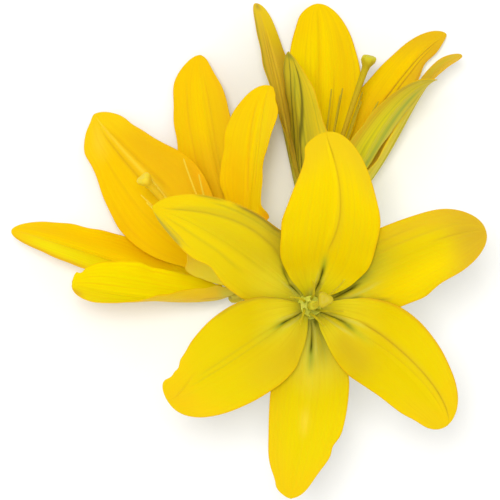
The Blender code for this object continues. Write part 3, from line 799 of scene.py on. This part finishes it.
def petal_material(name, look, marks, seed):
    """A satin tepal with its marks, fine lengthwise veins, streaks, and painted shade on a warm rim."""
    n = Nodes(name)
    along, across, outer = (n.attribute(layer) for layer in ("along", "across", "outer"))
    side = n.math("ABSOLUTE", across)
    streak_place = n.vector(n.times(across, STREAK_SCALE[0]), n.times(along, STREAK_SCALE[1]), seed)
    streaks = n.noise(Vector=streak_place, Scale=1.0, Detail=4.0, Roughness=0.6)
    cloud_place = n.vector(n.times(across, CLOUD_SCALE[0]), n.times(along, CLOUD_SCALE[1]), seed + 7.0)
    clouds = n.math("SUBTRACT", n.noise(Vector=cloud_place, Scale=1.0), 0.5)
    vein_turn = n.math("MULTIPLY_ADD", side, VEINS_PER_SIDE, n.times(clouds, 1.2))
    veins = n.rise(n.math("COSINE", n.times(vein_turn, 2 * math.pi)), 0.3, 1.0)
    drifted_along = n.math("MULTIPLY_ADD", clouds, 0.1, n.math("MULTIPLY_ADD", side, 0.1, along))
    drifted_across = n.math("MULTIPLY_ADD", clouds, 0.05, across)

    inner, outside = face_colours(n, look, drifted_along)
    outside = n.mix(keel_strength(n, along, across, side), outside, paint(look.keel))
    for mark in marks:
        strength = n.stroke(along, drifted_across, mark)
        if mark.outside:
            outside = n.mix(strength, outside, paint(mark.colour))
        else:
            inner = n.mix(strength, inner, paint(mark.colour))

    fine = n.math("ADD", n.times(n.rise(streaks, 0.45, 0.75), 0.35), n.times(veins, 0.1))
    fine = n.math("ADD", fine, n.times(n.rise(clouds, 0.02, 0.3), 0.25))
    colour = n.mix(fine, n.mix(outer, inner, outside), n.mix(outer, paint(look.streak), paint(look.keel)))
    # Painted shade: the blade darkens to a warm rim colour along its margin
    margin = n.times(n.rise(side, 0.95, 1.0), n.rise(along, 0.25, 0.5), 0.6)
    colour = n.mix(margin, colour, paint(look.margin))

    cells = n.noise(Vector=n.place(), Scale=CELL_SCALE)
    relief = n.math("ADD", n.times(streaks, 0.6), n.math("ADD", n.times(veins, -0.2), n.times(cells, 0.3)))
    rough = n.math("MULTIPLY_ADD", n.math("ADD", cells, streaks), 0.14, PETAL_SHEEN[0])
    return n.finish(
        Base_Color=colour,
        Roughness=rough,
        Normal=n.bump(relief, 0.25, 0.2 * MM),
        Specular_IOR_Level=PETAL_SHEEN[1],
        Specular_Tint=PETAL_GLINT,
        Subsurface_Weight=0.25,
        Subsurface_Radius=(1.0, 0.6, 0.05),
        Subsurface_Scale=GLOW_DEPTH * MM,
    )


def waxy_material(name, stops, streak, sheen):
    """Smooth plant tissue that turns from one colour to another along its length, finely streaked."""
    n = Nodes(name)
    roughness, gloss = sheen
    streaks = n.noise(Vector=n.place(), Scale=420.0, Detail=4.0)
    colour = n.ramp(n.attribute("along"), stops)
    colour = n.mix(n.times(n.rise(streaks, 0.5, 0.8), 0.35), colour, paint(streak))
    return n.finish(
        Base_Color=colour,
        Roughness=n.math("MULTIPLY_ADD", streaks, 0.15, roughness),
        Normal=n.bump(streaks, 0.3, 0.15 * MM),
        Specular_IOR_Level=gloss,
        Subsurface_Weight=0.2,
        Subsurface_Radius=(1.0, 0.7, 0.1),
        Subsurface_Scale=GLOW_DEPTH * MM,
    )


# Tepals


def width_share(tepal, s):
    """Half width at s along the blade, as a share of the widest half width."""
    rise = np.sin(np.clip(s / tepal.widest, 0, 1) * math.pi / 2) ** ROOT_SLOWNESS
    body = tepal.root_share + (1 - tepal.root_share) * rise
    beyond = np.clip((s - tepal.widest) / (1 - tepal.widest), 0, 1)
    fall = (1 - beyond**tepal.shoulder) ** tepal.point
    return np.where(s <= tepal.widest, body, fall)


def soft_roll(roll, s):
    """The blade's twist: evenly to the value at mid-length, then softly on to the tip's."""
    beyond = s - 0.5
    bend = 0.5 * (beyond + np.sqrt(beyond**2 + ROLL_SOFTNESS**2))
    return np.radians(2 * roll[0] * s + 2 * (roll[1] - 2 * roll[0]) * bend)


def even_curve(p0, p1, p2, p3, s):
    """Points and directions of a cubic curve at shares s of its length."""
    q = np.linspace(0, 1, MIDRIB_SAMPLES)[:, None]
    fine = (1 - q) ** 3 * p0 + 3 * q * (1 - q) ** 2 * p1 + 3 * q**2 * (1 - q) * p2 + q**3 * p3
    along = unit((1 - q) ** 2 * (p1 - p0) + 2 * q * (1 - q) * (p2 - p1) + q**2 * (p3 - p2))
    steps = np.linalg.norm(np.diff(fine, axis=0), axis=1)
    run = np.concatenate([[0], np.cumsum(steps)])
    run /= run[-1]
    return [np.stack([np.interp(s, run, rows[:, k]) for k in range(3)], axis=1) for rows in (fine, along)]


def midrib(bloom, tepal, s):
    """Points along the midrib, with the blade's sideways and inward directions at each."""
    axis, first, second = bloom.frame()
    azimuth = math.radians(tepal.azimuth)
    outward = math.cos(azimuth) * first + math.sin(azimuth) * second
    radius, height = INNER_START if tepal.name.startswith("inner") else OUTER_START
    lean = math.radians(tepal.lean)
    start = np.array(bloom.base) + radius * outward + height * axis
    pull = start + tepal.reach * (math.cos(lean) * axis + math.sin(lean) * outward)
    points, along = even_curve(start, pull, np.array(tepal.knee, float), np.array(tepal.tip, float), s)
    round_axis = np.cross(axis, outward)
    sideways = unit(round_axis - along * (along @ round_axis)[:, None])
    inward = np.cross(along, sideways)
    roll = soft_roll(tepal.roll, s)[:, None]
    return points, (
        sideways * np.cos(roll) + inward * np.sin(roll),
        inward * np.cos(roll) - sideways * np.sin(roll),
    )


def smooth_step(value, start, end):
    share = np.clip((value - start) / (end - start), 0, 1)
    return share * share * (3 - 2 * share)


def stroke_share(mark, s, v):
    """Strength of a mark over the blade, 0 to 1."""
    t = np.clip((s - mark.start[0]) / (mark.end[0] - mark.start[0]), 0, 1)
    centre = mark.start[1] + (mark.end[1] - mark.start[1]) * t + 4 * mark.bow * t * (1 - t)
    ends = smooth_step(s, mark.start[0] - mark.fade, mark.start[0] + mark.fade)
    ends = ends * (1 - smooth_step(s, mark.end[0] - mark.fade, mark.end[0] + mark.fade))
    return hump(v, centre, mark.width) * ends


def fine_relief(s, v, marks, draw):
    """Height of furrow, creases, veins, ripples and swells over the smooth trough, inward."""
    inside = np.sin(math.pi * s)
    turn = WAVES * s + np.where(v > 0, 0.25, 0.0)
    lift = WAVE_HEIGHT * abs(v) ** 3 * np.sin(2 * math.pi * turn) * inside
    lift -= FURROW_DEPTH * hump(v, 0, FURROW_WIDTH) * inside
    for mark in marks:
        lift += mark.lift * stroke_share(mark, s, v)
    lift += VEIN_HEIGHT * np.cos(2 * math.pi * VEINS_PER_SIDE * abs(v)) * inside
    ripple = np.sin(2 * math.pi * (4.5 * s + draw[0] + np.where(v > 0, draw[1], 0.0)))
    ripple += 0.6 * np.sin(2 * math.pi * (7.7 * s + draw[2] + np.where(v > 0, draw[3], 0.0)))
    lift += RIPPLE_HEIGHT * abs(v) ** 5 * ripple * inside
    swell = np.sin(2 * math.pi * (1.3 * s + 0.6 * v + draw[4]))
    swell += np.sin(2 * math.pi * (2.1 * s - 0.5 * v + draw[5]))
    return lift + 0.5 * SWELL_HEIGHT * swell * inside * (1 - hump(v, 0, 0.2))


def blade_points(bloom, tepal):
    """Inner and outer face of the blade as rows of points from root to tip and edge to edge."""
    source = random.Random(bloom.name + tepal.name)
    draw = [source.random() for _ in range(6)]
    s = 1 - (1 - TIP_CUT * np.linspace(0, 1, BLADE_ROWS)) ** TIP_CROWDING
    x = np.linspace(-1, 1, BLADE_COLUMNS)
    v = x - COLUMN_CROWDING * np.sin(2 * math.pi * x)
    points, (sideways, inward) = midrib(bloom, tepal, s)
    s, v = s[:, None], v[None, :]
    half = tepal.half_width * width_share(tepal, s) * np.ones_like(v)
    for side, place, depth, spread in tepal.margins:
        half -= np.where(side * v > 0, depth * hump(s, place, spread) * abs(v), 0.0)
    cup = np.radians(blend(tepal.cup, s))
    across = half * np.sin(cup * v) / cup
    lift = half * (1 - np.cos(cup * v)) / cup + fine_relief(s, v, tepal.marks, draw)
    middle = points[:, None] + sideways[:, None] * across[..., None] + inward[:, None] * lift[..., None]
    normal = unit(np.cross(np.gradient(middle, axis=0), np.gradient(middle, axis=1)))
    body = (1 - abs(v) ** 4) * (1 - s**8)
    half_thick = 0.5 * (THICKNESS_EDGE + (THICKNESS_MIDDLE - THICKNESS_EDGE) * body)[..., None]
    keel = KEEL_HEIGHT * hump(v, 0, KEEL_WIDTH) * np.clip(s / 0.1, 0, 1) * (1 - s)
    return s, v, middle + normal * half_thick, middle - normal * (half_thick + keel[..., None])


def blade_faces(rows, columns):
    """Faces of a closed blade: the inner grid, the outer grid and the rim between them."""
    count = rows * columns
    faces = []
    for i in range(rows - 1):
        for j in range(columns - 1):
            a = i * columns + j
            b = a + columns
            faces.append((a, b, b + 1, a + 1))
            faces.append((count + a, count + a + 1, count + b + 1, count + b))
    grid = np.arange(count).reshape(rows, columns)
    rim = np.concatenate([grid[0], grid[1:, -1], grid[-1, -2::-1], grid[-2:0:-1, 0]]).tolist()
    return faces + [(a, b, count + b, count + a) for a, b in zip(rim, rim[1:] + rim[:1])]


def add_tepal(bloom, tepal, seed):
    """One tepal as a closed blade with its own petal material."""
    s, v, inner, outer = blade_points(bloom, tepal)
    grid = np.ones(inner.shape[:2])
    layers = (
        ("along", np.tile((s * grid).ravel(), 2)),
        ("across", np.tile((v * grid).ravel(), 2)),
        ("outer", np.repeat((0.0, 1.0), grid.size)),
    )
    name = f"{bloom.name}_{tepal.name}"
    look = replace(bloom.look, **tepal.look)
    surface = petal_material(f"{name}_petal", look, tepal.marks, seed)
    points = np.concatenate([inner.reshape(-1, 3), outer.reshape(-1, 3)])
    add_piece(f"{name}_blade", points, blade_faces(*grid.shape), surface, name, layers)


# Stamens, pistils and stem


def square_to(direction):
    """A unit vector square to a direction."""
    helper = (0, 0, 1) if abs(direction[2]) < 0.9 else (1, 0, 0)
    return unit(np.cross(direction, helper))


def ring(centre, reaches, across, over):
    """Points round a centre, as far from it as each reach says."""
    turns = 2 * math.pi * np.arange(len(reaches)) / len(reaches)
    return [
        centre + reach * (math.cos(turn) * across + math.sin(turn) * over)
        for reach, turn in zip(reaches, turns)
    ]


def bar_faces(rings, sides):
    """Faces of a closed bar whose points are rings, with flat ends."""
    faces = []
    for number in range(rings - 1):
        for k in range(sides):
            a, b = number * sides + k, number * sides + (k + 1) % sides
            faces.append((a, b, b + sides, a + sides))
    last = (rings - 1) * sides
    return faces + [tuple(range(sides))[::-1], tuple(range(last, last + sides))]


def turned(path, radii, sides):
    """Points and faces of a round closed bar along a path."""
    path = np.asarray(path, float)
    tangents = np.gradient(path, axis=0)
    across = square_to(unit(tangents[0]))
    points = []
    for centre, tangent, radius in zip(path, tangents, radii):
        direction = unit(tangent)
        across = unit(across - direction * (across @ direction))
        points += ring(centre, [radius] * sides, across, np.cross(direction, across))
    return points, bar_faces(len(radii), sides)


def rounded(count, share):
    """Places from 0 to 1 with a crowd near 1, and the radius share of a round end at each."""
    s = 1 - (1 - np.linspace(0, 1, count)) ** 1.8
    end = np.clip((s - 1 + share) / share, 0, 1)
    return s, np.maximum(np.sqrt(1 - end**2), 0.02)


def filament_shape(bloom, number):
    """A slender filament that spreads from the receptacle and tapers to a blunt bare tip."""
    axis, first, second = bloom.frame()
    base = np.array(bloom.base)
    s, closing = rounded(FILAMENT_ROWS, 0.02)
    path = []
    for place in s:
        azimuth = math.radians(bloom.filament_azimuth + 60 * number + bloom.filament_swerve * place)
        outward = math.cos(azimuth) * first + math.sin(azimuth) * second
        lean = math.radians(bloom.filament_spreads[number]) * (0.35 + 0.65 * place)
        height = -1.5 + place * bloom.filament_length * math.cos(lean)
        radius = FILAMENT_ROOT + place * bloom.filament_length * math.sin(lean)
        path.append(base + axis * height + outward * radius)
    taper = FILAMENT_RADIUS + (FILAMENT_TIP_RADIUS - FILAMENT_RADIUS) * s
    points, faces = turned(path, taper * closing, FILAMENT_SIDES)
    return points, faces, np.repeat(s, FILAMENT_SIDES)


def receptacle_shape(bloom):
    """The disc that a bloom's parts grow from, with a flange under the tepals."""
    axis, _, _ = bloom.frame()
    base = np.array(bloom.base)
    profile = (
        (-RECEPTACLE_HEIGHT, 0.75 * FLANGE_RADIUS), (-2.85, 0.93 * FLANGE_RADIUS),
        (-2.5, FLANGE_RADIUS), (-FLANGE_TOP - 0.15, FLANGE_RADIUS),
        (-FLANGE_TOP, 0.96 * FLANGE_RADIUS), (-1.9, RECEPTACLE_RADIUS),
        (-0.7, RECEPTACLE_RADIUS), (-0.2, 0.94 * RECEPTACLE_RADIUS), (0.0, 0.8 * RECEPTACLE_RADIUS),
    )
    path = [base + axis * height for height, _ in profile]
    points, faces = turned(path, [radius for _, radius in profile], 48)
    return points, faces, np.zeros(len(points))


def join(shapes):
    """Several shapes as one list of points, faces and lengthwise values."""
    points, faces, along = [], [], []
    for some_points, some_faces, some_along in shapes:
        start = len(points)
        faces += [tuple(start + corner for corner in face) for face in some_faces]
        points += list(some_points)
        along += list(some_along)
    return points, faces, along


def add_stamens(bloom):
    shapes = [receptacle_shape(bloom)] + [filament_shape(bloom, n) for n in range(6)]
    points, faces, along = join(shapes)
    name = f"{bloom.name}_stamens"
    stops = list(zip(FILAMENT_STOPS, bloom.filament_colours))
    surface = waxy_material(f"{name}_waxy", stops, bloom.filament_colours[1], FILAMENT_SHEEN)
    add_piece(f"{bloom.name}_filaments", points, faces, surface, name, (("along", along),))


def pistil_profile(length):
    """Height, radius and depth of grooves of each ring, from the ovary's foot to the stigma's top."""
    ovary = (
        (0.0, 0.75, 0.0), (0.5, 0.92, 0.04), (1.5, 1.0, 0.1), (0.25 * OVARY_LENGTH, 1.0, 0.1),
        (0.5 * OVARY_LENGTH, 1.0, 0.1), (0.75 * OVARY_LENGTH, 1.0, 0.1),
        (OVARY_LENGTH - 1.5, 0.9, 0.08), (OVARY_LENGTH - 0.5, 0.68, 0.04),
    )
    style = (
        (OVARY_LENGTH + 0.5, 1.0, 0.0), (0.4 * length, 1.0, 0.0), (0.55 * length, 1.0, 0.0),
        (0.7 * length, 1.1, 0.0), (0.82 * length, 1.25, 0.02), (length - 6.5, 1.4, 0.05),
        (length - 4.6, 1.65, 0.1),
    )
    stigma = (
        (length - 3.6, 0.8, 0.14), (length - 2.6, 0.98, 0.16), (length - 1.6, 1.0, 0.17),
        (length - 0.8, 0.95, 0.18), (length - 0.3, 0.8, 0.2), (length, 0.52, 0.2), (length - 0.25, 0.2, 0.0),
    )
    sections = ((ovary, OVARY_RADIUS), (style, STYLE_RADIUS), (stigma, STIGMA_RADIUS))
    return [(height, share * radius, depth) for rows, radius in sections for height, share, depth in rows]


def pistil_shape(bloom):
    """Grooved ovary, slender style and three-lobed stigma, along a slightly swept line."""
    axis, first, second = bloom.frame()
    length = bloom.pistil_length
    base = np.array(bloom.base) + axis * PISTIL_GAP
    sweep = np.array(bloom.pistil_sweep, float)
    profile = pistil_profile(length)
    heights = np.array([height for height, _, _ in profile])
    path = [base + axis * height + sweep * (height / length) ** 2 for height in heights]
    path[-1] += axis * 0.01
    waves = np.cos(STIGMA_LOBES * 2 * math.pi * np.arange(PISTIL_SIDES) / PISTIL_SIDES)
    points = []
    for centre, (_, radius, depth) in zip(path, profile):
        points += ring(centre, radius * (1 + depth * waves), first, second)
    return points, bar_faces(len(profile), PISTIL_SIDES), np.repeat(heights / length, PISTIL_SIDES)


def add_pistil(bloom):
    points, faces, along = pistil_shape(bloom)
    name = f"{bloom.name}_pistil"
    stops = list(zip(PISTIL_STOPS, bloom.pistil_colours))
    surface = waxy_material(f"{name}_waxy", stops, bloom.pistil_colours[2], PISTIL_SHEEN)
    add_piece(f"{name}_shape", points, faces, surface, name, (("along", along),))


def pedicel_shape(bloom):
    """The stalk from the stem joint to just under a bloom's receptacle."""
    axis, _, _ = bloom.frame()
    joint = np.array(STEM_JOINT)
    end = np.array(bloom.base) - axis * (RECEPTACLE_HEIGHT + PEDICEL_GAP)
    knee = end - axis * 0.45 * np.linalg.norm(end - joint)
    s = 1 - (1 - np.linspace(0, 1, 30)) ** 1.3
    path = [(1 - t) ** 2 * joint + 2 * t * (1 - t) * knee + t**2 * end for t in s]
    radii = PEDICEL_RADIUS + (RECEPTACLE_RADIUS - 0.8 - PEDICEL_RADIUS) * s**8
    points, faces = turned(path, radii, PEDICEL_SIDES)
    return points, faces, np.repeat(s, PEDICEL_SIDES)


def stem_shape():
    """The short cut stem, from just past the joint of the stalks to its cut end."""
    joint, cut = np.array(STEM_JOINT), np.array(STEM_CUT_END)
    start = joint + (joint - cut) * 0.06
    places = (0.0, 0.02, 0.05, 0.1, 0.2, 0.35, 0.5, 0.65, 0.8, 0.92, 0.985, 1.0)
    shares = (0.6, 0.82, 0.95, 1.0, 0.99, 0.98, 0.98, 0.985, 0.99, 1.0, 1.0, 0.93)
    path = [start + (cut - start) * s for s in places]
    points, faces = turned(path, [share * STEM_RADIUS for share in shares], 40)
    return points, faces, np.zeros(len(points))


def add_stem():
    points, faces, along = join([stem_shape()] + [pedicel_shape(bloom) for bloom in BLOOMS])
    surface = waxy_material("stem_green", STEM_STOPS, STEM_STREAK, STEM_SHEEN)
    add_piece("stem_and_stalks", points, faces, surface, "stem", (("along", along),))


# Floor, light and camera


def add_floor():
    n = Nodes("floor_pale")
    grain = n.noise(Vector=n.place(), Scale=40.0)
    colour = n.mix(grain, (0.96, 0.96, 0.96, 1.0), (0.98, 0.98, 0.98, 1.0))
    surface = n.finish(Base_Color=colour, Roughness=0.8, Specular_IOR_Level=0.1)
    corners = [(x * FLOOR_REACH, y * FLOOR_REACH, 0.0) for x, y in ((-1, -1), (1, -1), (1, 1), (-1, 1))]
    mesh = bpy.data.meshes.new("floor")
    mesh.from_pydata(corners, [], [(0, 1, 2, 3)])
    mesh.materials.append(surface)
    floor = bpy.data.objects.new("floor", mesh)
    bpy.context.scene.collection.objects.link(floor)


def add_area_light(name, place, size, power):
    """A soft square light at a place in millimetres that faces the origin."""
    data = bpy.data.lights.new(name, "AREA")
    data.size = size * MM
    data.energy = power
    light = bpy.data.objects.new(name, data)
    light.location = [MM * value for value in place]
    x, y, z = place
    light.rotation_euler = (math.atan2(math.hypot(x, y), z), 0.0, math.atan2(-y, -x) - math.pi / 2)
    bpy.context.scene.collection.objects.link(light)


def add_light():
    world = bpy.data.worlds.new("studio")
    world.use_nodes = True
    background = world.node_tree.nodes["Background"]
    background.inputs["Color"].default_value = (1.0, 1.0, 1.0, 1.0)
    background.inputs["Strength"].default_value = SKY_STRENGTH
    bpy.context.scene.world = world
    add_area_light("key", *KEY_LIGHT)
    add_area_light("fill", *FILL_LIGHT)
    bpy.context.scene.view_settings.view_transform = "Standard"


def add_camera():
    data = bpy.data.cameras.new("camera")
    data.lens = CAMERA_LENS
    data.sensor_width = CAMERA_SENSOR
    camera = bpy.data.objects.new("camera", data)
    camera.location = (-FOOTPRINT_MIDDLE[0] * MM, -FOOTPRINT_MIDDLE[1] * MM, CAMERA_HEIGHT * MM)
    bpy.context.scene.collection.objects.link(camera)
    bpy.context.scene.camera = camera


def build():
    seed = 0.0
    for bloom in BLOOMS:
        for tepal in bloom.tepals:
            seed += 11.0
            add_tepal(bloom, tepal, seed)
        add_stamens(bloom)
        add_pistil(bloom)
    add_stem()
    add_floor()
    add_light()
    add_camera()


build()
